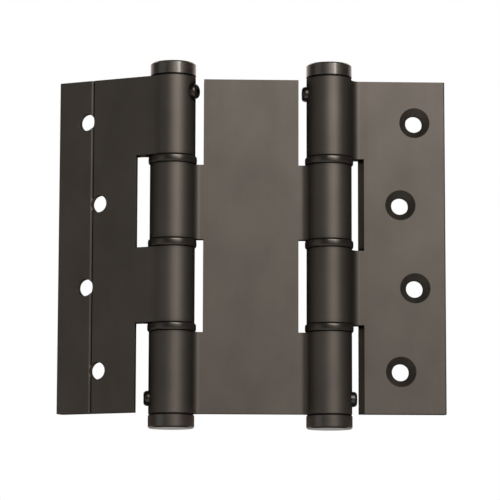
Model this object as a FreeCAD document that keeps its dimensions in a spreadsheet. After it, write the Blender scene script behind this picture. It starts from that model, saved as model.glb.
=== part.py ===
# Double-action spring hinge: two extruded leaves and a middle plate on two spring barrels.
# The middle plate's front meets the right leaf and its back meets the left leaf when the hinge is folded.
# Frame: X along the open hinge, Y away from the viewer, Z up along the barrels. The origin is on the right
# leaf's mounting face, at the centre of its screw holes. Millimetres and degrees.
import FreeCAD, Part
import math
import os
import Sketcher

SIZES = {
    # Extruded leaves and middle plate
    "leaf_height": 120,          # along the barrels
    "axis_spacing": 56,          # between the two barrel axes
    "leaf_thickness": 5,
    "plate_thickness": 3.6,
    "plate_drop": 0.5,           # middle plate's ends below those of the leaves
    "fold_gap": 0.7,             # between a folded leaf and the middle plate
    "fold_clearance": 5.9,       # between a folded leaf's edge and the far barrel
    "leaf_opening": 26,          # how far the left leaf stands short of flat, in degrees
    "inner_root_radius": 3.3,    # leaf to barrel, on the countersunk side
    "back_root_radius": 12,      # leaf to barrel, on the mounting side
    "plate_root_radius": 2.9,    # middle plate to barrel, both sides
    "edge_radius": 0.6,          # extruded corners of a leaf's free edge
    "groove_width": 1.2,         # drilling line on the mounting side
    "groove_depth": 0.5,
    # Barrels and their knuckles
    "barrel_proud": 0.6,         # barrel beyond the leaf's mounting face
    "barrel_wall": 1.75,
    "knuckle_gap": 3.2,          # between two knuckles, filled by a bush rim
    "plate_notch_clearance": 1.4,  # middle plate's notches beyond the screw heads
    "leaf_notch_clearance": 2.9,   # leaf's notches beyond the screw heads, on the countersunk side
    "leaf_notch_slant": 1.8,       # how much nearer the barrel a notch ends on the mounting side
    # Leaf screw holes
    "hole_diameter": 6.2,
    "countersink_diameter": 10.9,
    "countersink_angle": 90,
    "hole_edge_margin": 11,      # outer column, from the free edge
    "hole_stagger": 5.2,         # from the outer column to the inner one
    "hole_end_margin": 15,       # first and last hole, from the ends
    # Bushes
    "running_clearance": 0.05,
    "bush_wall": 1.1,
    "bush_rim_proud": 0.6,
    "bush_crest_width": 1.4,     # flat part of the rim's bead
    "bush_spigot_length": 6,
    # End plugs
    "plug_head_height": 5.2,
    "plug_head_proud": 0.1,
    "plug_head_chamfer": 0.5,
    "plug_relief_height": 0.4,   # groove between the head and the barrel's end
    "plug_relief_depth": 0.6,
    "plug_socket_flats": 6,
    "plug_socket_depth": 3.5,
    "lock_flat_depth": 0.9,      # hexagon land for the lock screw, below the shank
    "lock_land_length": 4,
    "inner_end_gap": 0.5,        # between pieces that follow each other inside a barrel
    # Lock screws
    "screw_end_margin": 5.4,     # from the barrel's ends
    "screw_seat_depth": 0.5,     # spot face below the barrel's surface
    "screw_seat_clearance": 0.2,
    "screw_head_diameter": 5.5,
    "screw_head_height": 2.2,
    "screw_edge_height": 0.6,    # upright edge below the dome
    "screw_crown_diameter": 2.9,   # flat top of the dome
    "screw_dome_bulge": 0.25,    # dome beyond a plain cone
    "screw_shank_diameter": 3,
    "screw_socket_flats": 2,
    "screw_socket_depth": 1.2,
    # Torsion springs and the pins inside them
    "spring_clearance": 0.4,     # coil inside the middle bush
    "wire_width": 1.8,
    "wire_height": 3.6,
    "coil_gap": 0.5,             # least gap between two turns
    "leg_length": 5,
    "leg_inset": 0.15,           # leg narrower than the wire on each side
    "slot_clearance": 0.2,
    "core_pin_diameter": 4.4,
    "core_pin_seat": 10,         # in each plug
}
COIL_SECTIONS_PER_TURN = 12
HOLES_PER_LEAF = 4
KNUCKLES_PER_BARREL = 4
SAME_PLACE = 0.001               # edges this near a place are taken to stand at it

doc = FreeCAD.newDocument("SpringHinge")
sheet = doc.addObject("Spreadsheet::Sheet", "Sizes")
for row, (alias, number) in enumerate(SIZES.items(), start=1):
    sheet.set(f"A{row}", alias)
    sheet.set(f"B{row}", str(number))
    sheet.setAlias(f"B{row}", alias)
doc.recompute()

# Formulas on the sheet's cells that several pieces share
LEAF_FACE = "(Sizes.plate_thickness / 2 + Sizes.fold_gap)"
LEAF_BACK = f"({LEAF_FACE} + Sizes.leaf_thickness)"
BARREL_RADIUS = f"({LEAF_BACK} + Sizes.barrel_proud)"
BORE_RADIUS = f"({BARREL_RADIUS} - Sizes.barrel_wall)"
LEAF_REACH = f"(Sizes.axis_spacing - {BARREL_RADIUS} - Sizes.fold_clearance)"
HOLE_MIDLINE = f"({LEAF_REACH} - Sizes.hole_edge_margin - Sizes.hole_stagger / 2)"
KNUCKLE_PITCH = f"(Sizes.leaf_height / {KNUCKLES_PER_BARREL})"
END_KNUCKLE = f"({KNUCKLE_PITCH} - Sizes.knuckle_gap / 2)"
SCREW_SEAT = f"({BARREL_RADIUS} - Sizes.screw_seat_depth)"
SCREW_TIP = f"({SCREW_SEAT} + Sizes.screw_head_height)"
SPIGOT_RADIUS = f"({BORE_RADIUS} - Sizes.running_clearance)"
BUSH_BORE_RADIUS = f"({SPIGOT_RADIUS} - Sizes.bush_wall)"
SHANK_RADIUS = f"({BORE_RADIUS} - Sizes.running_clearance)"
SHANK_END = f"({END_KNUCKLE} - Sizes.bush_spigot_length - Sizes.inner_end_gap)"
JOURNAL_RADIUS = f"({BUSH_BORE_RADIUS} - Sizes.running_clearance)"
JOURNAL_END = f"({END_KNUCKLE} + Sizes.knuckle_gap + Sizes.bush_spigot_length + Sizes.inner_end_gap)"
LOCK_FLATS = f"(2 * ({SHANK_RADIUS} - Sizes.lock_flat_depth))"
PIN_SEAT_END = f"({JOURNAL_END} - Sizes.core_pin_seat)"


def value(formula):
    """Work out a formula on the sheet's cells."""
    return float(sheet.evalExpression(formula))


def hold_point(sketch, geometry, vertex, across, along):
    """Hold one point of a sketch at two formulas from the sketch's origin."""
    for kind, formula in (("DistanceX", across), ("DistanceY", along)):
        rule = Sketcher.Constraint(kind, -1, 1, geometry, vertex, value(formula))
        index = sketch.addConstraint(rule)
        sketch.setExpression(f"Constraints[{index}]", formula)


def draw_outline(sketch, corners):
    """Draw a closed outline of straight sides; each corner is a pair of formulas."""
    spots = [FreeCAD.Vector(value(across), value(along), 0) for across, along in corners]
    sides = [
        sketch.addGeometry(Part.LineSegment(here, there))
        for here, there in zip(spots, spots[1:] + spots[:1])
    ]
    for side, following in zip(sides, sides[1:] + sides[:1]):
        sketch.addConstraint(Sketcher.Constraint("Coincident", side, 2, following, 1))
    for side, (across, along) in zip(sides, corners):
        hold_point(sketch, side, 1, across, along)


def draw_rectangle(sketch, left, right, bottom, top):
    """Draw a rectangle between four formulas."""
    draw_outline(sketch, [(left, bottom), (right, bottom), (right, top), (left, top)])


def draw_circle(sketch, across, along, radius):
    """Draw a circle whose centre and radius are formulas."""
    centre = FreeCAD.Vector(value(across), value(along), 0)
    ring = sketch.addGeometry(Part.Circle(centre, FreeCAD.Vector(0, 0, 1), value(radius)))
    hold_point(sketch, ring, 3, across, along)
    index = sketch.addConstraint(Sketcher.Constraint("Radius", ring, value(radius)))
    sketch.setExpression(f"Constraints[{index}]", radius)


def draw_hexagon(sketch, flats):
    """Draw a hexagon about the sketch's origin with two flats square to the sketch's first axis."""
    half = f"({flats} / 2)"
    rise = f"({half} * tan(30 deg))"
    peak = f"({half} / cos(30 deg))"
    draw_outline(sketch, [
        (half, f"-{rise}"), (half, rise), ("0", peak),
        (f"-{half}", rise), (f"-{half}", f"-{rise}"), ("0", f"-{peak}"),
    ])


def new_body(label):
    """Start one piece."""
    body = doc.addObject("PartDesign::Body", label)
    body.Label = label
    return body


def new_sketch(body, name, plane, offset="0"):
    """Start a sketch on one of the body's own planes, moved along the plane's normal by a formula."""
    sketch = body.newObject("Sketcher::SketchObject", name)
    support = next(feature for feature in body.Origin.OriginFeatures if feature.Role == plane)
    sketch.AttachmentSupport = [(support, "")]
    sketch.MapMode = "FlatFace"
    sketch.setExpression("AttachmentOffset.Base.z", offset)
    return sketch


def pad(body, name, sketch, length):
    """Raise a sketch along its normal."""
    feature = body.newObject("PartDesign::Pad", name)
    feature.Profile = sketch
    feature.setExpression("Length", length)
    doc.recompute()
    return feature


def pocket(body, name, sketch, depth, along_normal):
    """Cut a sketch into the body, along its normal or against it, and see that something was cut."""
    volume_before = body.Shape.Volume
    feature = body.newObject("PartDesign::Pocket", name)
    feature.Profile = sketch
    feature.Reversed = along_normal
    feature.setExpression("Length", depth)
    doc.recompute()
    if body.Shape.Volume >= volume_before:
        raise RuntimeError(f"{body.Label}: {name} cuts nothing")
    return feature


def revolve(body, name, corners):
    """Turn a half section, given as radius and height formulas, about the body's own axis."""
    sketch = new_sketch(body, f"{name}Section", "XZ_Plane")
    draw_outline(sketch, corners)
    feature = body.newObject("PartDesign::Revolution", name)
    feature.Profile = sketch
    feature.ReferenceAxis = (sketch, ["V_Axis"])
    doc.recompute()
    return feature


def round_edges(body, name, radius, is_wanted):
    """Round the edges of the body as it stands that pass a test."""
    base = body.Tip
    wanted = [f"Edge{number}" for number, edge in enumerate(base.Shape.Edges, start=1) if is_wanted(edge)]
    feature = body.newObject("PartDesign::Fillet", name)
    feature.Base = (base, wanted)
    feature.setExpression("Radius", radius)
    doc.recompute()
    return feature


def upright_edge_at(*places):
    """Make a test for edges along the barrels that stand at given places across them."""
    def is_wanted(edge):
        low, high = edge.BoundBox.ZMin, edge.BoundBox.ZMax
        if high - low < value("Sizes.leaf_height") - SAME_PLACE:
            return False
        spot = edge.Vertexes[0].Point
        return any(math.hypot(spot.x - x, spot.y - y) < SAME_PLACE for x, y in places)

    return is_wanted


def on_barrel(depth):
    """How far from the axis a line at this depth meets the barrel's surface."""
    return math.sqrt(value(BARREL_RADIUS) ** 2 - depth ** 2)


def cut_notches(body, draw_section, zones):
    """Cut the same section out of the body between pairs of heights."""
    for number, (low, high) in enumerate(zones, start=1):
        sketch = new_sketch(body, f"NotchSection{number}", "XY_Plane", low)
        draw_section(sketch)
        pocket(body, f"Notch{number}", sketch, f"{high} - {low}", along_normal=True)


def cut_screw_seat(body, name, side, axis, height):
    """Cut a spot face and a clearance hole for a lock screw on one side of a barrel."""
    sketch = new_sketch(body, f"{name}SeatSection", "YZ_Plane", f"{axis} + {side} * {SCREW_SEAT}")
    draw_circle(sketch, "0", height, "Sizes.screw_head_diameter / 2 + Sizes.screw_seat_clearance")
    pocket(body, f"{name}Seat", sketch, "Sizes.screw_seat_depth + Sizes.barrel_wall", along_normal=side > 0)
    sketch = new_sketch(body, f"{name}HoleSection", "YZ_Plane", f"{axis} + {side} * {SCREW_SEAT}")
    draw_circle(sketch, "0", height, "Sizes.screw_shank_diameter / 2 + Sizes.running_clearance")
    pocket(body, f"{name}Hole", sketch, SCREW_SEAT, along_normal=side < 0)


# Heights where the knuckles of the leaves give way to those of the middle plate, and the other way round
SPLITS = [f"({KNUCKLE_PITCH} * {count})" for count in range(KNUCKLES_PER_BARREL + 1)]
HALF_GAP = "Sizes.knuckle_gap / 2"
LEAF_NOTCHES = [
    (SPLITS[0], f"({SPLITS[1]} + {HALF_GAP})"),
    (f"({SPLITS[2]} - {HALF_GAP})", f"({SPLITS[3]} + {HALF_GAP})"),
]
PLATE_NOTCHES = [
    (f"({SPLITS[1]} - {HALF_GAP})", f"({SPLITS[2]} + {HALF_GAP})"),
    (f"({SPLITS[3]} - {HALF_GAP})", SPLITS[4]),
]


def make_leaf(label):
    """An extruded leaf with its barrel on the body's axis and its plate along +X."""
    body = new_body(label)
    sketch = new_sketch(body, "PlateSection", "XY_Plane")
    draw_rectangle(sketch, "0", LEAF_REACH, LEAF_FACE, LEAF_BACK)
    pad(body, "Plate", sketch, "Sizes.leaf_height")
    sketch = new_sketch(body, "BarrelSection", "XY_Plane")
    draw_circle(sketch, "0", "0", BARREL_RADIUS)
    pad(body, "Barrel", sketch, "Sizes.leaf_height")
    face, back, reach = value(LEAF_FACE), value(LEAF_BACK), value(LEAF_REACH)
    round_edges(body, "InnerRoot", "Sizes.inner_root_radius", upright_edge_at((on_barrel(face), face)))
    round_edges(body, "BackRoot", "Sizes.back_root_radius", upright_edge_at((on_barrel(back), back)))
    round_edges(body, "FreeEdge", "Sizes.edge_radius", upright_edge_at((reach, face), (reach, back)))

    # Notches that leave room for the middle plate's knuckles and the heads of its screws
    beyond = f"(2 * {BARREL_RADIUS})"
    face_end = f"({SCREW_TIP} + Sizes.leaf_notch_clearance)"
    back_end = f"({face_end} - Sizes.leaf_notch_slant)"

    def draw_notch(sketch):
        draw_outline(sketch, [
            (f"-{beyond}", f"-{beyond}"), (face_end, f"-{beyond}"), (face_end, LEAF_FACE),
            (back_end, LEAF_BACK), (back_end, beyond), (f"-{beyond}", beyond),
        ])

    cut_notches(body, draw_notch, LEAF_NOTCHES)
    sketch = new_sketch(body, "BoreSection", "XY_Plane")
    draw_circle(sketch, "0", "0", BORE_RADIUS)
    pocket(body, "Bore", sketch, "Sizes.leaf_height", along_normal=True)
    cut_screw_seat(body, "Lock", -1, "0", "Sizes.leaf_height - Sizes.screw_end_margin")

    # Drilling line on the mounting side, midway between the columns of holes
    sketch = new_sketch(body, "GrooveSection", "XY_Plane")
    draw_outline(sketch, [
        (f"{HOLE_MIDLINE} - Sizes.groove_width / 2", LEAF_BACK),
        (HOLE_MIDLINE, f"{LEAF_BACK} - Sizes.groove_depth"),
        (f"{HOLE_MIDLINE} + Sizes.groove_width / 2", LEAF_BACK),
    ])
    pocket(body, "Groove", sketch, "Sizes.leaf_height", along_normal=True)

    # Countersunk screw holes in two staggered columns, the topmost one nearest the free edge
    sketch = new_sketch(body, "HoleCentres", "XZ_Plane", f"-{LEAF_FACE}")
    step = f"((Sizes.leaf_height - 2 * Sizes.hole_end_margin) / {HOLES_PER_LEAF - 1})"
    for number in range(HOLES_PER_LEAF):
        outward = 1 if number % 2 == 0 else -1
        column = f"{HOLE_MIDLINE} + {outward} * Sizes.hole_stagger / 2"
        height = f"Sizes.leaf_height - Sizes.hole_end_margin - {step} * {number}"
        draw_circle(sketch, column, height, "Sizes.hole_diameter / 2")
    doc.recompute()
    holes = body.newObject("PartDesign::Hole", "ScrewHoles")
    holes.Profile = sketch
    holes.DepthType = "ThroughAll"
    holes.HoleCutType = "Countersink"
    holes.HoleCutCustomValues = True
    holes.setExpression("Diameter", "Sizes.hole_diameter")
    holes.setExpression("HoleCutDiameter", "Sizes.countersink_diameter")
    holes.setExpression("HoleCutCountersinkAngle", "Sizes.countersink_angle")
    doc.recompute()
    return body


def make_middle_plate(label):
    """The middle plate, with a barrel on each side of the body's axis."""
    body = new_body(label)
    half_spacing = "(Sizes.axis_spacing / 2)"
    half_thickness = "(Sizes.plate_thickness / 2)"
    axes = [f"-{half_spacing}", half_spacing]
    foot = "-Sizes.plate_drop"
    sketch = new_sketch(body, "PlateSection", "XY_Plane", foot)
    draw_rectangle(sketch, axes[0], axes[1], f"-{half_thickness}", half_thickness)
    pad(body, "Plate", sketch, "Sizes.leaf_height")
    sketch = new_sketch(body, "BarrelSections", "XY_Plane", foot)
    for axis in axes:
        draw_circle(sketch, axis, "0", BARREL_RADIUS)
    pad(body, "Barrels", sketch, "Sizes.leaf_height")
    root = value(half_spacing) - on_barrel(value(half_thickness))
    depth = value(half_thickness)
    corners = [(across, along) for across in (-root, root) for along in (-depth, depth)]
    round_edges(body, "Roots", "Sizes.plate_root_radius", upright_edge_at(*corners))

    # Notches that leave room for the leaves' knuckles and the heads of their screws
    def draw_notches(sketch):
        for axis in axes:
            draw_circle(sketch, axis, "0", f"{SCREW_TIP} + Sizes.plate_notch_clearance")

    cut_notches(body, draw_notches, PLATE_NOTCHES)
    sketch = new_sketch(body, "BoreSections", "XY_Plane", foot)
    for axis in axes:
        draw_circle(sketch, axis, "0", BORE_RADIUS)
    pocket(body, "Bores", sketch, "Sizes.leaf_height", along_normal=True)
    for name, side, axis in (("LeftLock", -1, axes[0]), ("RightLock", 1, axes[1])):
        cut_screw_seat(body, name, side, axis, "Sizes.screw_end_margin - Sizes.plate_drop")
    return body


def make_plug(label):
    """A turned end plug: head, shank with a hexagon land, journal and slotted end. It stands on z 0."""
    body = new_body(label)
    head_radius = f"({BARREL_RADIUS} + Sizes.plug_head_proud)"
    relief_radius = f"({BARREL_RADIUS} - Sizes.plug_relief_depth)"
    revolve(body, "Turned", [
        ("0", "Sizes.plug_head_height"),
        (f"{head_radius} - Sizes.plug_head_chamfer", "Sizes.plug_head_height"),
        (head_radius, "Sizes.plug_head_height - Sizes.plug_head_chamfer"),
        (head_radius, "Sizes.plug_relief_height"),
        (relief_radius, "Sizes.plug_relief_height"),
        (relief_radius, "0"),
        (SHANK_RADIUS, "0"),
        (SHANK_RADIUS, f"-{SHANK_END}"),
        (JOURNAL_RADIUS, f"-{SHANK_END}"),
        (JOURNAL_RADIUS, f"-{JOURNAL_END}"),
        ("0", f"-{JOURNAL_END}"),
    ])

    # Hexagon land that the lock screw bears on, cut from the shank
    low = "(-Sizes.screw_end_margin - Sizes.lock_land_length / 2)"
    sketch = new_sketch(body, "LandSection", "XY_Plane", low)
    draw_circle(sketch, "0", "0", f"{SHANK_RADIUS} + Sizes.lock_flat_depth")
    draw_hexagon(sketch, LOCK_FLATS)
    pocket(body, "LockLand", sketch, "Sizes.lock_land_length", along_normal=True)

    # Hexagon socket that winds the spring
    sketch = new_sketch(body, "SocketSection", "XY_Plane", "Sizes.plug_head_height")
    draw_hexagon(sketch, "Sizes.plug_socket_flats")
    pocket(body, "Socket", sketch, "Sizes.plug_socket_depth", along_normal=False)

    # Blind hole for the core pin and a slot across the journal for the spring's leg
    sketch = new_sketch(body, "PinHoleSection", "XY_Plane", f"-{JOURNAL_END}")
    draw_circle(sketch, "0", "0", "Sizes.core_pin_diameter / 2 + Sizes.running_clearance")
    pocket(body, "PinHole", sketch, "Sizes.core_pin_seat", along_normal=True)
    sketch = new_sketch(body, "SlotSection", "XY_Plane", f"-{JOURNAL_END}")
    half_width = "(Sizes.wire_width / 2 + Sizes.slot_clearance)"
    draw_rectangle(sketch, f"-{BORE_RADIUS}", BORE_RADIUS, f"-{half_width}", half_width)
    pocket(body, "Slot", sketch, "Sizes.leg_length + Sizes.inner_end_gap", along_normal=True)
    return body


def make_bush(label):
    """A nylon bush: a beaded rim between two knuckles, with a spigot into each bore. Mid-rim is at z 0."""
    body = new_body(label)
    rim_radius = f"({BARREL_RADIUS} + Sizes.bush_rim_proud)"
    rim_face = "(Sizes.knuckle_gap / 2 - Sizes.running_clearance)"
    end = "(Sizes.knuckle_gap / 2 + Sizes.bush_spigot_length)"
    revolve(body, "Moulded", [
        (BUSH_BORE_RADIUS, f"-{end}"),
        (SPIGOT_RADIUS, f"-{end}"),
        (SPIGOT_RADIUS, f"-{rim_face}"),
        (BARREL_RADIUS, f"-{rim_face}"),
        (rim_radius, "-Sizes.bush_crest_width / 2"),
        (rim_radius, "Sizes.bush_crest_width / 2"),
        (BARREL_RADIUS, rim_face),
        (SPIGOT_RADIUS, rim_face),
        (SPIGOT_RADIUS, end),
        (BUSH_BORE_RADIUS, end),
    ])
    return body


def make_screw(label):
    """A button-head lock screw. Its head's seat is at z 0 and its end bears on the plug's hexagon land."""
    body = new_body(label)
    head_radius = "(Sizes.screw_head_diameter / 2)"
    shank_radius = "(Sizes.screw_shank_diameter / 2)"
    shank_end = f"({SCREW_SEAT} - {LOCK_FLATS} / 2)"
    crown_radius = "(Sizes.screw_crown_diameter / 2)"
    shoulder_radius = f"(({head_radius} + {crown_radius}) / 2 + Sizes.screw_dome_bulge)"
    shoulder_height = "((Sizes.screw_edge_height + Sizes.screw_head_height) / 2 + Sizes.screw_dome_bulge)"
    revolve(body, "Turned", [
        ("0", f"-{shank_end}"),
        (shank_radius, f"-{shank_end}"),
        (shank_radius, "0"),
        (head_radius, "0"),
        (head_radius, "Sizes.screw_edge_height"),
        (shoulder_radius, shoulder_height),
        (crown_radius, "Sizes.screw_head_height"),
        ("0", "Sizes.screw_head_height"),
    ])
    sketch = new_sketch(body, "SocketSection", "XY_Plane", "Sizes.screw_head_height")
    draw_hexagon(sketch, "Sizes.screw_socket_flats")
    pocket(body, "Socket", sketch, "Sizes.screw_socket_depth", along_normal=False)
    return body


def make_core_pin(label):
    """A plain steel pin through the coil, from one plug's blind hole to the other's."""
    pin = doc.addObject("Part::Cylinder", label)
    pin.Label = label
    pin.setExpression("Radius", "Sizes.core_pin_diameter / 2")
    pin.setExpression("Height", f"Sizes.leaf_height - 2 * {PIN_SEAT_END} - Sizes.inner_end_gap")
    return pin


def make_spring(label, twist):
    """A torsion spring of rectangular wire with an axial leg at each end, its upper leg turned by twist."""
    outer = value(f"{BUSH_BORE_RADIUS} - Sizes.spring_clearance")
    inner = outer - value("Sizes.wire_width")
    wire_height = value("Sizes.wire_height")
    bottom = value(f"{JOURNAL_END} + Sizes.inner_end_gap")
    top = value("Sizes.leaf_height") - bottom
    rise = top - bottom - wire_height
    least_pitch = wire_height + value("Sizes.coil_gap")
    part_turn = twist / 360
    turns = math.floor(rise / least_pitch - part_turn) + part_turn
    steps = math.ceil(turns * COIL_SECTIONS_PER_TURN)
    up = FreeCAD.Vector(0, 0, 1)

    # The coil joins wire sections turned about the barrel's axis, with two flat triangles on each side
    sections = []
    for step in range(steps + 1):
        share = step / steps
        turn = FreeCAD.Rotation(up, 360 * turns * share)
        low = bottom + rise * share
        corners = [(inner, low), (outer, low), (outer, low + wire_height), (inner, low + wire_height)]
        sections.append([turn.multVec(FreeCAD.Vector(radius, 0, height)) for radius, height in corners])
    outlines = [sections[0], sections[-1]]
    for here, there in zip(sections, sections[1:]):
        for side in range(len(here)):
            outlines.append([here[side - 1], here[side], there[side]])
            outlines.append([here[side - 1], there[side], there[side - 1]])
    faces = [Part.Face(Part.makePolygon(spots + spots[:1])) for spots in outlines]
    solid_coil = Part.makeSolid(Part.makeShell(faces))

    # Each leg leaves the middle of the end section along the axis
    inset = value("Sizes.leg_inset")
    leg_width = value("Sizes.wire_width") - 2 * inset
    leg_size = value("Sizes.leg_length + Sizes.inner_end_gap") + wire_height / 2
    legs = []
    for angle, foot in ((0, bottom + wire_height / 2 - leg_size), (twist, top - wire_height / 2)):
        corner = FreeCAD.Vector(inner + inset, -leg_width / 2, foot)
        leg = Part.makeBox(leg_width, leg_width, leg_size, corner)
        leg.rotate(FreeCAD.Vector(0, 0, 0), up, angle)
        legs.append(leg)
    spring = doc.addObject("Part::Feature", label)
    spring.Label = label
    spring.Shape = solid_coil.fuse(legs)
    return spring


def place(piece, carrier, spot=(0, 0, 0), axis=(0, 0, 1), angle=0):
    """Set a piece on its carrier's frame, turned about an axis of that frame."""
    turn = FreeCAD.Rotation(FreeCAD.Vector(*axis), angle)
    piece.Placement = carrier.multiply(FreeCAD.Placement(FreeCAD.Vector(*spot), turn))
    return piece


# The right leaf's holes and mounting face set where the right axis stands
height = value("Sizes.leaf_height")
spacing = value("Sizes.axis_spacing")
right_axis = FreeCAD.Vector(-value(HOLE_MIDLINE), -value(LEAF_BACK), -height / 2)
left_axis = right_axis - FreeCAD.Vector(spacing, 0, 0)
upright = FreeCAD.Vector(0, 0, 1)
left_turn = 180 - value("Sizes.leaf_opening")
no_turn = FreeCAD.Placement()

pieces = [
    place(make_middle_plate("middle_plate"), no_turn, (right_axis + left_axis) / 2),
]
# Each barrel has a leaf frame, turned with its leaf, and a plate frame whose X points away from the plate
for side, axis, leaf_angle, plate_angle, twist in (
    ("left", left_axis, left_turn, 180, left_turn),
    ("right", right_axis, 0, 0, 0),
):
    leaf_frame = FreeCAD.Placement(axis, FreeCAD.Rotation(upright, leaf_angle))
    plate_frame = FreeCAD.Placement(axis, FreeCAD.Rotation(upright, plate_angle))
    seat = value(SCREW_SEAT)
    margin = value("Sizes.screw_end_margin")
    pitch = value(KNUCKLE_PITCH)
    foot = -value("Sizes.plate_drop")
    pieces += [
        place(make_leaf(f"{side}_leaf"), leaf_frame),
        place(make_plug(f"{side}_top_plug"), leaf_frame, (0, 0, height)),
        place(make_screw(f"{side}_top_screw"), leaf_frame, (-seat, 0, height - margin), (0, 1, 0), -90),
        place(make_plug(f"{side}_bottom_plug"), plate_frame, (0, 0, foot), (1, 0, 0), 180),
        place(make_screw(f"{side}_bottom_screw"), plate_frame, (seat, 0, foot + margin), (0, 1, 0), 90),
        place(make_core_pin(f"{side}_core_pin"), plate_frame, (0, 0, foot + value(PIN_SEAT_END))),
        place(make_spring(f"{side}_spring", twist), plate_frame, (0, 0, foot)),
    ]
    for count, level in enumerate(("lower", "middle", "upper"), start=1):
        pieces.append(place(make_bush(f"{side}_{level}_bush"), plate_frame, (0, 0, pitch * count)))
doc.recompute()

for item in doc.Objects:
    if "Invalid" in item.State or "Error" in item.State:
        raise RuntimeError(f"{item.Label} failed: {item.State}")
for piece in pieces:
    if piece.Shape.isNull() or not piece.Shape.isValid() or len(piece.Shape.Solids) != 1:
        raise RuntimeError(f"{piece.Label} is not one sound solid")

os.makedirs("parts", exist_ok=True)
for piece in pieces:
    piece.Shape.exportStep(f"parts/{piece.Label}.step")
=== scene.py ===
import math

import bmesh
import bpy
from mathutils import Matrix, Quaternion, Vector


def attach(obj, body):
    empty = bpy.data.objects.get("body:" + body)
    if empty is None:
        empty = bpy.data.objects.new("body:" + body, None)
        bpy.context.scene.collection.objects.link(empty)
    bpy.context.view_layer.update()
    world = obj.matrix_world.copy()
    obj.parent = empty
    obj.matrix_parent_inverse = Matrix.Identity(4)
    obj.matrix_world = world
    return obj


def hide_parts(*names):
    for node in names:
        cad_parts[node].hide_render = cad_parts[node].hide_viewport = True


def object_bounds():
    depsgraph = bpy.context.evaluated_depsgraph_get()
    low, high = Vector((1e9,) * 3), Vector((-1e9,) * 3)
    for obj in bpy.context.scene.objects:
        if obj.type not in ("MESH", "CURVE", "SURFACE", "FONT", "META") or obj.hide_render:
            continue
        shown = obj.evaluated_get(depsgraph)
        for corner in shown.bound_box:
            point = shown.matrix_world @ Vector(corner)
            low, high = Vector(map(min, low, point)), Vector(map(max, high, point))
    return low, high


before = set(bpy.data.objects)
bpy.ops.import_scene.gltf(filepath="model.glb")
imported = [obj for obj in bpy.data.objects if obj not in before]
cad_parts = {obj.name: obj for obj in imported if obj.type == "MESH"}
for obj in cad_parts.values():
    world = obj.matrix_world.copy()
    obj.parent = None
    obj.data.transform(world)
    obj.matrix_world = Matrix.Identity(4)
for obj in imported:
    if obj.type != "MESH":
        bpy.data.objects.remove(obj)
cad_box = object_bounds()

# Middle plate and the two leaves: sawn lengths of extruded aluminium, finely blasted and anodised dark
# bronze. The extruder's die leaves faint upright lines, the dye takes in faint clouds, and the saw and mill
# cuts are deburred to a small round. Grooves, roots and seams are darkened with painted shade.
BRONZE_LIGHT = (0.213, 0.184, 0.157, 1)
BRONZE_DARK = (0.179, 0.155, 0.133, 1)
BRONZE_GRAZING = (0.08, 0.07, 0.06, 1)
BRONZE_METALLIC = 1.0
BRONZE_ROUGHNESS = (0.515, 0.545)
DIE_LINES_PER_METRE = 900
DIE_LINE_STRETCH = (1, 1, 0.012)
DIE_LINE_DEPTH = 0.00002
DIE_LINE_STRENGTH = 0.02
BLAST_GRAINS_PER_METRE = 4200
BLAST_GRAIN_DEPTH = 0.00002
BLAST_GRAIN_STRENGTH = 0.12
DYE_CLOUDS_PER_METRE = 75
DYE_CLOUD_STRETCH = (1, 1, 0.7)
DEBURRED_EDGE = 0.00018
EDGE_SAMPLES = 4
COLOUR_FROM, COLOUR_TO = 0.3, 0.7
ROUGHNESS_FROM, ROUGHNESS_TO = 0.25, 0.75
# Painted shade in corners: how far it reaches, how finely it is sampled, and how dark it gets.
CORNER_SHADE_REACH = 0.0018
CORNER_SAMPLES = 8
CORNER_CLOSED, CORNER_OPEN = 0.70, 0.99
CORNER_SHADE = (0.25, 0.24, 0.23, 1)
WHITE = (1, 1, 1, 1)


def new_finish(name):
    finish = bpy.data.materials.new(name)
    finish.use_nodes = True
    nodes = finish.node_tree.nodes
    return finish, nodes, finish.node_tree.links, nodes["Principled BSDF"]


def grain_field(nodes, links, per_metre, stretch=(1, 1, 1), detail=2):
    """Give a soft random field, fixed to the piece, with so many grains per metre."""
    coords = nodes.new("ShaderNodeTexCoord")
    mapping = nodes.new("ShaderNodeMapping")
    mapping.inputs["Scale"].default_value = stretch
    field = nodes.new("ShaderNodeTexNoise")
    field.inputs["Scale"].default_value = per_metre
    field.inputs["Detail"].default_value = detail
    links.new(coords.outputs["Object"], mapping.inputs["Vector"])
    links.new(mapping.outputs["Vector"], field.inputs["Vector"])
    return field.outputs["Fac"]


def colour_between(nodes, links, field, dark, light):
    ramp = nodes.new("ShaderNodeValToRGB")
    ramp.color_ramp.elements[0].position = COLOUR_FROM
    ramp.color_ramp.elements[0].color = dark
    ramp.color_ramp.elements[1].position = COLOUR_TO
    ramp.color_ramp.elements[1].color = light
    links.new(field, ramp.inputs["Fac"])
    return ramp.outputs["Color"]


def roughness_between(nodes, links, field, low, high):
    span = nodes.new("ShaderNodeMapRange")
    span.inputs["From Min"].default_value = ROUGHNESS_FROM
    span.inputs["From Max"].default_value = ROUGHNESS_TO
    span.inputs["To Min"].default_value = low
    span.inputs["To Max"].default_value = high
    links.new(field, span.inputs["Value"])
    return span.outputs["Result"]


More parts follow.
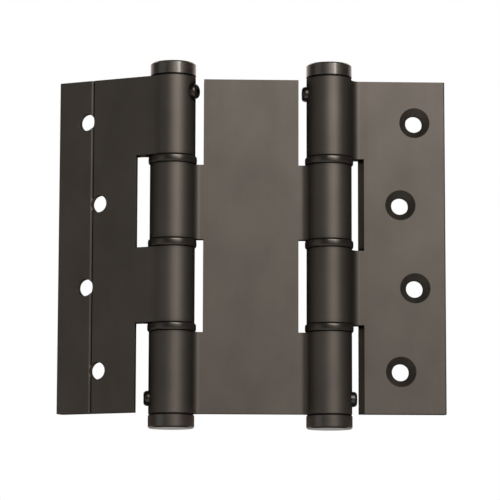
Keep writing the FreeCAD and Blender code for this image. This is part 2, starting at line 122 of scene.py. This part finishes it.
def paint_corner_shade(nodes, links, colour, reach):
    """Paint shade into a finish's colour where two walls meet closer than reach, in grooves, roots and seams.
    """
    open_air = nodes.new("ShaderNodeAmbientOcclusion")
    open_air.samples = CORNER_SAMPLES
    open_air.inputs["Distance"].default_value = reach
    shade = nodes.new("ShaderNodeValToRGB")
    shade.color_ramp.elements[0].position = CORNER_CLOSED
    shade.color_ramp.elements[0].color = CORNER_SHADE
    shade.color_ramp.elements[1].position = CORNER_OPEN
    shade.color_ramp.elements[1].color = WHITE
    shaded_colour = nodes.new("ShaderNodeMix")
    shaded_colour.data_type = "RGBA"
    shaded_colour.blend_type = "MULTIPLY"
    shaded_colour.inputs["Factor"].default_value = 1.0
    links.new(open_air.outputs["AO"], shade.inputs["Fac"])
    links.new(colour, shaded_colour.inputs["A"])
    links.new(shade.outputs["Color"], shaded_colour.inputs["B"])
    return shaded_colour.outputs["Result"]


def eased_edges(nodes, radius):
    easing = nodes.new("ShaderNodeBevel")
    easing.samples = EDGE_SAMPLES
    easing.inputs["Radius"].default_value = radius
    return easing.outputs["Normal"]


def relief(nodes, links, field, depth, strength, below):
    bump = nodes.new("ShaderNodeBump")
    bump.inputs["Distance"].default_value = depth
    bump.inputs["Strength"].default_value = strength
    links.new(field, bump.inputs["Height"])
    links.new(below, bump.inputs["Normal"])
    return bump.outputs["Normal"]


satin_bronze, nodes, links, surface = new_finish("satin_bronze_anodising")
die_lines = grain_field(nodes, links, DIE_LINES_PER_METRE, DIE_LINE_STRETCH, detail=3)
blast_grain = grain_field(nodes, links, BLAST_GRAINS_PER_METRE)
dye_clouds = grain_field(nodes, links, DYE_CLOUDS_PER_METRE, DYE_CLOUD_STRETCH, detail=4)
bronze = colour_between(nodes, links, dye_clouds, BRONZE_DARK, BRONZE_LIGHT)
# Painted shade: the bronze is darkened where ambient occlusion finds grooves, roots and seams.
links.new(paint_corner_shade(nodes, links, bronze, CORNER_SHADE_REACH), surface.inputs["Base Color"])
links.new(roughness_between(nodes, links, die_lines, *BRONZE_ROUGHNESS), surface.inputs["Roughness"])
edges = eased_edges(nodes, DEBURRED_EDGE)
blasted = relief(nodes, links, blast_grain, BLAST_GRAIN_DEPTH, BLAST_GRAIN_STRENGTH, edges)
drawn_out = relief(nodes, links, die_lines, DIE_LINE_DEPTH, DIE_LINE_STRENGTH, blasted)
links.new(drawn_out, surface.inputs["Normal"])
surface.inputs["Metallic"].default_value = BRONZE_METALLIC
surface.inputs["Specular Tint"].default_value = BRONZE_GRAZING

for name in ("middle_plate", "left_leaf", "right_leaf"):
    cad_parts[name].material_slots[0].material = satin_bronze

# End plugs: turned aluminium, anodised to the same bronze but left bright from the lathe.
# A head closes each end of a barrel over a narrow groove; below it a shank fills the end knuckle and a
# journal runs in the bush. The groove's faces get a near-black finish that is painted shade, and the turned
# finish is darkened with painted shade where it meets the groove. The top plugs have a hexagon socket that
# winds the spring.
RIGHT_AXIS = Vector((-0.0284, -0.0075, 0))
AXIS_SPACING = 0.056
TOP_SEAT = 0.0600
BOTTOM_SEAT = -0.0605
PLUG_HEAD_RADIUS = 0.0082
PLUG_HEAD_HEIGHT = 0.0052
PLUG_CHAMFER = 0.0005
PLUG_GROOVE_RADIUS = 0.0079
PLUG_GROOVE_HEIGHT = 0.0007
PLUG_SHANK_RADIUS = 0.0063
PLUG_SHANK_END = -0.0219
PLUG_JOURNAL_RADIUS = 0.00515
PLUG_JOURNAL_END = -0.0381
PLUG_SOCKET_FLATS = 0.006
PLUG_SOCKET_FLOOR = 0.0017
PLUG_EDGE = 0.00015
PLUG_SEAM_SHADE_REACH = 0.0008
ROUND_STEPS = 96
SHARP_EDGE = math.radians(40)
PLUG_LIGHT = (0.194, 0.167, 0.144, 1)
PLUG_DARK = (0.163, 0.140, 0.120, 1)
PLUG_GRAZING = (1.0, 0.60, 0.42, 1)
PLUG_METALLIC = 0.95
PLUG_ROUGHNESS = (0.42, 0.48)
TOOL_RINGS_PER_METRE = 5200
TOOL_RING_STRETCH = (0.02, 0.02, 1)
TOOL_RING_DEPTH = 0.00001
TOOL_RING_STRENGTH = 0.1
SEALED_FILM = 1.0
SEALED_FILM_ROUGHNESS = 0.14
SEALED_FILM_IOR = 1.7
# Painted shade: the groove faces get a near-black finish of their own that stands in for the shade inside the
# groove.
GROOVE_SHADE_INDEX = 1
GROOVE_SHADE_DARK = (0.020, 0.017, 0.014, 1)
GROOVE_SHADE_LIGHT = (0.032, 0.028, 0.023, 1)
GROOVE_METALLIC = 0.95
GROOVE_ROUGHNESS = (0.55, 0.65)
GROOVE_SPECKS_PER_METRE = 1500

axes = {"right": RIGHT_AXIS, "left": RIGHT_AXIS - Vector((AXIS_SPACING, 0, 0))}


def add_piece(name, mesh, place):
    for face in mesh.polygons:
        face.use_smooth = True
    piece = bpy.data.objects.new(name, mesh)
    piece.matrix_world = place
    bpy.context.scene.collection.objects.link(piece)
    return piece


def turned_mesh(section, closed):
    """Turn a section of radius and height pairs about Z; an open section ends on its last ring."""
    mesh = bmesh.new()
    rings = []
    for radius, height in section:
        angles = [2 * math.pi * step / ROUND_STEPS for step in range(ROUND_STEPS)]
        rings.append([mesh.verts.new((radius * math.cos(a), radius * math.sin(a), height)) for a in angles])
    pairs = list(zip(rings, rings[1:]))
    if closed:
        pairs.append((rings[-1], rings[0]))
    for low, high in pairs:
        for step in range(ROUND_STEPS):
            after = (step + 1) % ROUND_STEPS
            mesh.faces.new((low[step], low[after], high[after], high[step]))
    return mesh, rings


def finish_mesh(name, mesh, sharp):
    """Turn all faces outward, keep edges steeper than sharp crisp, and hand over the mesh."""
    bmesh.ops.recalc_face_normals(mesh, faces=mesh.faces)
    for edge in mesh.edges:
        if edge.is_manifold and edge.calc_face_angle() > sharp:
            edge.smooth = False
    data = bpy.data.meshes.new(name)
    mesh.to_mesh(data)
    mesh.free()
    return data


def sink_hexagon(mesh, ring, flats, mouth, floor):
    """Close a ring of the mesh with a flat land and a hexagon socket down to floor."""
    for height in (mouth, floor):
        rim = []
        for step in range(ROUND_STEPS):
            angle = 2 * math.pi * step / ROUND_STEPS
            from_flat = (angle + math.pi / 6) % (math.pi / 3) - math.pi / 6
            across = flats / 2 / math.cos(from_flat)
            rim.append(mesh.verts.new((across * math.cos(angle), across * math.sin(angle), height)))
        for step in range(ROUND_STEPS):
            after = (step + 1) % ROUND_STEPS
            mesh.faces.new((ring[step], ring[after], rim[after], rim[step]))
        ring = rim
    mesh.faces.new(ring)


plug_section = [
    (PLUG_JOURNAL_RADIUS, PLUG_JOURNAL_END),
    (PLUG_JOURNAL_RADIUS, PLUG_SHANK_END),
    (PLUG_SHANK_RADIUS, PLUG_SHANK_END),
    (PLUG_SHANK_RADIUS, 0),
    (PLUG_GROOVE_RADIUS, 0),
    (PLUG_GROOVE_RADIUS, PLUG_GROOVE_HEIGHT),
    (PLUG_HEAD_RADIUS, PLUG_GROOVE_HEIGHT),
    (PLUG_HEAD_RADIUS, PLUG_HEAD_HEIGHT - PLUG_CHAMFER),
    (PLUG_HEAD_RADIUS - PLUG_CHAMFER, PLUG_HEAD_HEIGHT),
]
plug_meshes = {}
for end in ("top", "bottom"):
    turned, rings = turned_mesh(plug_section, closed=False)
    turned.faces.new(rings[0])
    if end == "top":
        sink_hexagon(turned, rings[-1], PLUG_SOCKET_FLATS, PLUG_HEAD_HEIGHT, PLUG_SOCKET_FLOOR)
    else:
        turned.faces.new(rings[-1])
    for face in turned.faces:
        if 0 <= face.calc_center_median().z <= PLUG_GROOVE_HEIGHT:
            face.material_index = GROOVE_SHADE_INDEX
    plug_meshes[end] = finish_mesh(f"{end}_plug", turned, SHARP_EDGE)

turned_bronze, nodes, links, surface = new_finish("turned_bronze_anodising")
tool_rings = grain_field(nodes, links, TOOL_RINGS_PER_METRE, TOOL_RING_STRETCH)
bright_bronze = colour_between(nodes, links, tool_rings, PLUG_DARK, PLUG_LIGHT)
# Painted shade: the turned bronze is darkened where ambient occlusion finds the seam under the head and the
# socket.
links.new(paint_corner_shade(nodes, links, bright_bronze, PLUG_SEAM_SHADE_REACH), surface.inputs["Base Color"])
links.new(roughness_between(nodes, links, tool_rings, *PLUG_ROUGHNESS), surface.inputs["Roughness"])
edges = eased_edges(nodes, PLUG_EDGE)
ringed = relief(nodes, links, tool_rings, TOOL_RING_DEPTH, TOOL_RING_STRENGTH, edges)
links.new(ringed, surface.inputs["Normal"])
surface.inputs["Metallic"].default_value = PLUG_METALLIC
surface.inputs["Specular Tint"].default_value = PLUG_GRAZING
surface.inputs["Coat Weight"].default_value = SEALED_FILM
surface.inputs["Coat Roughness"].default_value = SEALED_FILM_ROUGHNESS
surface.inputs["Coat IOR"].default_value = SEALED_FILM_IOR

# Painted shade for the plug grooves: a near-black finish in place of the shade inside them.
groove_painted_shade, nodes, links, surface = new_finish("painted_shade_plug_groove")
shade_specks = grain_field(nodes, links, GROOVE_SPECKS_PER_METRE)
links.new(colour_between(nodes, links, shade_specks, GROOVE_SHADE_DARK, GROOVE_SHADE_LIGHT), surface.inputs["Base Color"])
links.new(roughness_between(nodes, links, shade_specks, *GROOVE_ROUGHNESS), surface.inputs["Roughness"])
surface.inputs["Metallic"].default_value = GROOVE_METALLIC
for mesh in plug_meshes.values():
    mesh.materials.append(turned_bronze)
    mesh.materials.append(groove_painted_shade)

for side in ("left", "right"):
    for end, seat, turn, body in (
        ("top", TOP_SEAT, 0, f"{side}_leaf"),
        ("bottom", BOTTOM_SEAT, math.pi, "middle_plate"),
    ):
        place = Matrix.Translation(axes[side] + Vector((0, 0, seat))) @ Matrix.Rotation(turn, 4, "X")
        plug = add_piece(f"{side}_{end}_turned_plug", plug_meshes[end], place)
        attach(plug, body)
        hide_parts(f"{side}_{end}_plug")

# Bushes: mouldings of dark bearing nylon filled with metal powder, with a spigot pressed into each of two
# knuckles. A full, rounded bead, a little proud of the barrel, shows between the knuckles; its edges by the
# knuckles are darkened with painted shade.
KNUCKLE_PITCH = 0.030
BUSH_BORE = 0.0052
SPIGOT_RADIUS = 0.0063
SPIGOT_END = 0.0076
BEAD_ROOT_RADIUS = 0.0076
BEAD_CREST_RADIUS = 0.00868
BEAD_HALF_HEIGHT = 0.00142
BEAD_FULLNESS = 0.52
BEAD_STEPS = 20
BEAD_SEAM_SHADE_REACH = 0.0003
NYLON = (0.115, 0.101, 0.086, 1)
NYLON_WORN = (0.137, 0.120, 0.102, 1)
NYLON_GRAZING = (0.05, 0.045, 0.04, 1)
NYLON_ROUGHNESS = (0.29, 0.35)
METAL_POWDER = 0.9
FLOW_MARKS_PER_METRE = 160
FLOW_MARK_STRETCH = (1, 1, 0.4)

bush_section = [
    (BUSH_BORE, -SPIGOT_END),
    (SPIGOT_RADIUS, -SPIGOT_END),
    (SPIGOT_RADIUS, -BEAD_HALF_HEIGHT),
]
for step in range(BEAD_STEPS + 1):
    lean = math.pi * (step / BEAD_STEPS - 0.5)
    out, up = abs(math.cos(lean)) ** BEAD_FULLNESS, abs(math.sin(lean)) ** BEAD_FULLNESS
    bead_radius = BEAD_ROOT_RADIUS + (BEAD_CREST_RADIUS - BEAD_ROOT_RADIUS) * out
    bush_section.append((bead_radius, math.copysign(BEAD_HALF_HEIGHT * up, lean)))
bush_section += [
    (SPIGOT_RADIUS, BEAD_HALF_HEIGHT),
    (SPIGOT_RADIUS, SPIGOT_END),
    (BUSH_BORE, SPIGOT_END),
]
turned, _ = turned_mesh(bush_section, closed=True)
bush_mesh = finish_mesh("bush", turned, SHARP_EDGE)

dark_nylon, nodes, links, surface = new_finish("dark_nylon")
flow_marks = grain_field(nodes, links, FLOW_MARKS_PER_METRE, FLOW_MARK_STRETCH, detail=3)
nylon = colour_between(nodes, links, flow_marks, NYLON, NYLON_WORN)
# Painted shade: the nylon is darkened where ambient occlusion finds the seams beside the knuckles.
links.new(paint_corner_shade(nodes, links, nylon, BEAD_SEAM_SHADE_REACH), surface.inputs["Base Color"])
links.new(roughness_between(nodes, links, flow_marks, *NYLON_ROUGHNESS), surface.inputs["Roughness"])
surface.inputs["Metallic"].default_value = METAL_POWDER
surface.inputs["Specular Tint"].default_value = NYLON_GRAZING
bush_mesh.materials.append(dark_nylon)

for side in ("left", "right"):
    for count, level in enumerate(("lower", "middle", "upper"), start=-1):
        place = Matrix.Translation(axes[side] + Vector((0, 0, count * KNUCKLE_PITCH)))
        bush = add_piece(f"{side}_{level}_bead_bush", bush_mesh, place)
        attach(bush, "middle_plate")
        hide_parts(f"{side}_{level}_bush")

# Lock screws: small button-head screws of blackened steel with a hexagon socket.
# Each sits in a spot face near the end of a barrel and bears on the plug inside.
SEAT_RADIUS = 0.0076
TOP_SCREW_HEIGHT = 0.0546
BOTTOM_SCREW_HEIGHT = -0.0551
HEAD_RADIUS = 0.00275
HEAD_HEIGHT = 0.0022
HEAD_EDGE = 0.0006
CROWN_RADIUS = 0.00145
SHANK_RADIUS = 0.0015
SHANK_END = -0.0022
SOCKET_FLATS = 0.0020
SOCKET_FLOOR = 0.0010
DOME_STEPS = 10
DOME_FULLNESS = 0.85
LEFT_LEAF_TURN = math.radians(154)
OXIDE_DARK = (0.085, 0.076, 0.066, 1)
OXIDE_LIGHT = (0.12, 0.106, 0.092, 1)
OXIDE_METALLIC = 1.0
OXIDE_ROUGHNESS = (0.28, 0.40)
OXIDE_SPECKS_PER_METRE = 900

screw_section = [(SHANK_RADIUS, SHANK_END), (SHANK_RADIUS, 0), (HEAD_RADIUS, 0)]
for step in range(DOME_STEPS + 1):
    lean = math.pi / 2 * step / DOME_STEPS
    out, up = abs(math.cos(lean)) ** DOME_FULLNESS, abs(math.sin(lean)) ** DOME_FULLNESS
    dome_radius = CROWN_RADIUS + (HEAD_RADIUS - CROWN_RADIUS) * out
    screw_section.append((dome_radius, HEAD_EDGE + (HEAD_HEIGHT - HEAD_EDGE) * up))
turned, rings = turned_mesh(screw_section, closed=False)
turned.faces.new(rings[0])
sink_hexagon(turned, rings[-1], SOCKET_FLATS, HEAD_HEIGHT, SOCKET_FLOOR)
screw_mesh = finish_mesh("lock_screw", turned, SHARP_EDGE)

black_steel, nodes, links, surface = new_finish("blackened_steel")
oxide = grain_field(nodes, links, OXIDE_SPECKS_PER_METRE, detail=3)
links.new(colour_between(nodes, links, oxide, OXIDE_DARK, OXIDE_LIGHT), surface.inputs["Base Color"])
links.new(roughness_between(nodes, links, oxide, *OXIDE_ROUGHNESS), surface.inputs["Roughness"])
surface.inputs["Metallic"].default_value = OXIDE_METALLIC
screw_mesh.materials.append(black_steel)

for side, end, turn, height, body in (
    ("left", "top", LEFT_LEAF_TURN + math.pi, TOP_SCREW_HEIGHT, "left_leaf"),
    ("right", "top", math.pi, TOP_SCREW_HEIGHT, "right_leaf"),
    ("left", "bottom", math.pi, BOTTOM_SCREW_HEIGHT, "middle_plate"),
    ("right", "bottom", 0, BOTTOM_SCREW_HEIGHT, "middle_plate"),
):
    place = (
        Matrix.Translation(axes[side] + Vector((0, 0, height)))
        @ Matrix.Rotation(turn, 4, "Z")
        @ Matrix.Translation((SEAT_RADIUS, 0, 0))
        @ Matrix.Rotation(math.pi / 2, 4, "Y")
    )
    screw = add_piece(f"{side}_{end}_button_screw", screw_mesh, place)
    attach(screw, body)
    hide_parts(f"{side}_{end}_screw")

# Torsion springs and the core pins inside them: oiled spring steel, coiled and ground.
# They are closed in by the barrels and only show when the hinge is taken apart.
STEEL_DARK = (0.16, 0.155, 0.15, 1)
STEEL_LIGHT = (0.26, 0.25, 0.24, 1)
STEEL_METALLIC = 1.0
STEEL_ROUGHNESS = (0.3, 0.42)
DRAWING_MARKS_PER_METRE = 700

spring_steel, nodes, links, surface = new_finish("oiled_spring_steel")
drawing_marks = grain_field(nodes, links, DRAWING_MARKS_PER_METRE, detail=3)
steel = colour_between(nodes, links, drawing_marks, STEEL_DARK, STEEL_LIGHT)
links.new(steel, surface.inputs["Base Color"])
links.new(roughness_between(nodes, links, drawing_marks, *STEEL_ROUGHNESS), surface.inputs["Roughness"])
surface.inputs["Metallic"].default_value = STEEL_METALLIC

for side in ("left", "right"):
    for inner in ("spring", "core_pin"):
        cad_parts[f"{side}_{inner}"].material_slots[0].material = spring_steel

# Floor: a wide sheet of pale matt paper well below the hinge, which hangs free as in a cut-out picture.
# It is out of the main view and takes the hinge's shadow in the views from above.
FLOOR_LEVEL = -0.22
FLOOR_REACH = 6.0
PAPER = (0.82, 0.82, 0.81, 1)
PAPER_ROUGHNESS = 1.0
PAPER_GLOSS = 0.0

floor_mesh = bpy.data.meshes.new("pale_floor")
floor_corners = [
    (-FLOOR_REACH, -FLOOR_REACH, FLOOR_LEVEL),
    (FLOOR_REACH, -FLOOR_REACH, FLOOR_LEVEL),
    (FLOOR_REACH, FLOOR_REACH, FLOOR_LEVEL),
    (-FLOOR_REACH, FLOOR_REACH, FLOOR_LEVEL),
]
floor_mesh.from_pydata(floor_corners, [], [(0, 1, 2, 3)])
floor = bpy.data.objects.new("pale_floor", floor_mesh)
bpy.context.scene.collection.objects.link(floor)
pale_paper, nodes, links, surface = new_finish("pale_paper")
surface.inputs["Base Color"].default_value = PAPER
surface.inputs["Roughness"].default_value = PAPER_ROUGHNESS
surface.inputs["Specular IOR Level"].default_value = PAPER_GLOSS
floor_mesh.materials.append(pale_paper)

# Dark surround: black cloth hung all round the hinge, thinning to an open window behind it, and a black mat
# on the floor with a bay of bare paper before the hinge. It keeps the metal's sides dark, as a
# photographer's flags do; only reflections see it.
SURROUND_RADIUS = 3.2
SURROUND_TOP = 3.4
SURROUND_STEPS = 72
SURROUND_ROWS = 24
WINDOW_MIDDLE = math.pi / 2
WINDOW_CLEAR = math.radians(30)
WINDOW_EDGE = math.radians(75)
VALANCE_FOOT = -0.07
VALANCE_LOW = 0.22
VALANCE_HIGH = 0.62
MAT_LEFT, MAT_RIGHT = -0.9, 0.9
MAT_FRONT, MAT_BACK = -1.4, 0.12
MAT_LIFT = 0.002
BAY_LEFT, BAY_RIGHT = -0.36, 0.24
BAY_FRONT, BAY_BACK = -0.55, -0.12
CLOTH = (0.03, 0.03, 0.03, 1)
CLOTH_ROUGHNESS = 1.0
CLOTH_GLOSS = 0.0
CLOTH_CLOSED = 1


def share(value, low, high):
    """Say how far a value has come from low to high, from 0 to 1."""
    return min(1, max(0, (value - low) / (high - low)))


cloth = bmesh.new()
weave = cloth.verts.layers.float.new("weave")
rows = []
for row in range(SURROUND_ROWS + 1):
    height = FLOOR_LEVEL + (SURROUND_TOP - FLOOR_LEVEL) * row / SURROUND_ROWS
    valance = min(
        share(height, FLOOR_LEVEL, VALANCE_FOOT),
        1 - share(height, VALANCE_LOW, VALANCE_HIGH),
    )
    posts = []
    for step in range(SURROUND_STEPS):
        angle = 2 * math.pi * step / SURROUND_STEPS
        x, y = SURROUND_RADIUS * math.cos(angle), SURROUND_RADIUS * math.sin(angle)
        from_window = abs((angle - WINDOW_MIDDLE + math.pi) % (2 * math.pi) - math.pi)
        post = cloth.verts.new((x, y, height))
        post[weave] = max(share(from_window, WINDOW_CLEAR, WINDOW_EDGE), valance)
        posts.append(post)
    rows.append(posts)
for low, high in zip(rows, rows[1:]):
    for step in range(SURROUND_STEPS):
        after = (step + 1) % SURROUND_STEPS
        cloth.faces.new((low[step], low[after], high[after], high[step]))
roof = [cloth.verts.new(post.co) for post in rows[-1]]
sheets = [roof]
for left, right, front, back in (
    (MAT_LEFT, BAY_LEFT, MAT_FRONT, MAT_BACK),
    (BAY_LEFT, BAY_RIGHT, MAT_FRONT, BAY_FRONT),
    (BAY_LEFT, BAY_RIGHT, BAY_BACK, MAT_BACK),
    (BAY_RIGHT, MAT_RIGHT, MAT_FRONT, MAT_BACK),
):
    corners = ((left, front), (right, front), (right, back), (left, back))
    sheets.append([cloth.verts.new((x, y, FLOOR_LEVEL + MAT_LIFT)) for x, y in corners])
for sheet in sheets:
    for corner in sheet:
        corner[weave] = CLOTH_CLOSED
    cloth.faces.new(sheet)
surround_mesh = bpy.data.meshes.new("dark_surround")
cloth.to_mesh(surround_mesh)
cloth.free()
surround = bpy.data.objects.new("dark_surround", surround_mesh)
bpy.context.scene.collection.objects.link(surround)
dark_cloth, nodes, links, surface = new_finish("dark_cloth")
surface.inputs["Base Color"].default_value = CLOTH
surface.inputs["Roughness"].default_value = CLOTH_ROUGHNESS
surface.inputs["Specular IOR Level"].default_value = CLOTH_GLOSS
thickness = nodes.new("ShaderNodeAttribute")
thickness.attribute_name = "weave"
links.new(thickness.outputs["Fac"], surface.inputs["Alpha"])
surround_mesh.materials.append(dark_cloth)
surround.visible_camera = False
surround.visible_diffuse = False
surround.visible_shadow = False
surround.visible_transmission = False

# Lamps: one softbox up on the right, whose sheen lies on the right of each barrel, and a dim one far left
# that lifts the left leaf. Both are cloth-fronted boxes turned to face the hinge and stay out of the picture.
KEY_PLACE = (0.29, -1.0, 0.57)
KEY_SIZE = (0.78, 0.52)
KEY_LEAN = math.radians(-18)
KEY_WATTS = 6.7
FILL_PLACE = (-1.25, -0.70, 0.10)
FILL_SIZE = (0.9, 1.2)
FILL_WATTS = 0.75


def softbox(name, place, size, watts, lean=0):
    """Hang a lamp that faces the middle of the hinge, leaning sideways by lean."""
    middle = (cad_box[0] + cad_box[1]) / 2
    lamp = bpy.data.lights.new(name, "AREA")
    lamp.shape = "RECTANGLE"
    lamp.size, lamp.size_y = size
    lamp.energy = watts
    box = bpy.data.objects.new(name, lamp)
    box.location = place
    aim = (middle - Vector(place)).to_track_quat("-Z", "Y")
    box.rotation_euler = (aim @ Quaternion((0, 0, 1), lean)).to_euler()
    box.visible_camera = False
    bpy.context.scene.collection.objects.link(box)


softbox("key_softbox", KEY_PLACE, KEY_SIZE, KEY_WATTS, KEY_LEAN)
softbox("fill_softbox", FILL_PLACE, FILL_SIZE, FILL_WATTS)

# Studio air: an even dim light from all round, as pale walls throw it back.
# Past the hinge the eye sees plain white, and so does a reflection or a ray that goes through.
AIR_STRENGTH = 0.45
WHITE_STRENGTH = 1.0

studio = bpy.data.worlds.new("studio")
bpy.context.scene.world = studio
studio.use_nodes = True
nodes, links = studio.node_tree.nodes, studio.node_tree.links
air = nodes["Background"]
air.inputs["Color"].default_value = WHITE
air.inputs["Strength"].default_value = AIR_STRENGTH
backdrop = nodes.new("ShaderNodeBackground")
backdrop.inputs["Color"].default_value = WHITE
backdrop.inputs["Strength"].default_value = WHITE_STRENGTH
ray = nodes.new("ShaderNodeLightPath")
seen = nodes.new("ShaderNodeMath")
seen.operation = "MAXIMUM"
links.new(ray.outputs["Is Camera Ray"], seen.inputs[0])
links.new(ray.outputs["Is Glossy Ray"], seen.inputs[1])
seen_through = nodes.new("ShaderNodeMath")
seen_through.operation = "MAXIMUM"
links.new(seen.outputs[0], seen_through.inputs[0])
links.new(ray.outputs["Is Transmission Ray"], seen_through.inputs[1])
mix = nodes.new("ShaderNodeMixShader")
links.new(seen_through.outputs[0], mix.inputs["Fac"])
links.new(air.outputs[0], mix.inputs[1])
links.new(backdrop.outputs[0], mix.inputs[2])
links.new(mix.outputs[0], nodes["World Output"].inputs["Surface"])

# Camera: a long lens a little below the hinge, looking up at it, with the hinge upright in a square picture.
# Its place, turn and focal length are fitted to the hinge's edges, holes and seams; the lens isn't shifted.
SENSOR_WIDTH = 36
PICTURE_WIDTH = 500
FOCAL_PIXELS = 2553.6
CAMERA_PLACE = (-0.08835, -0.90899, -0.12362)
CAMERA_TURN = math.radians(-2.013)
CAMERA_TILT = math.radians(7.681)
CAMERA_ROLL = math.radians(0.162)
NEAREST, FARTHEST = 0.05, 30

lens = bpy.data.cameras.new("camera")
lens.sensor_width = SENSOR_WIDTH
lens.lens = FOCAL_PIXELS * SENSOR_WIDTH / PICTURE_WIDTH
lens.clip_start, lens.clip_end = NEAREST, FARTHEST
camera = bpy.data.objects.new("camera", lens)
camera.matrix_world = (
    Matrix.Translation(CAMERA_PLACE)
    @ Matrix.Rotation(CAMERA_TURN, 4, "Z")
    @ Matrix.Rotation(math.pi / 2 + CAMERA_TILT, 4, "X")
    @ Matrix.Rotation(CAMERA_ROLL, 4, "Z")
)
bpy.context.scene.collection.objects.link(camera)
bpy.context.scene.camera = camera
bpy.context.scene.view_settings.view_transform = "Standard"
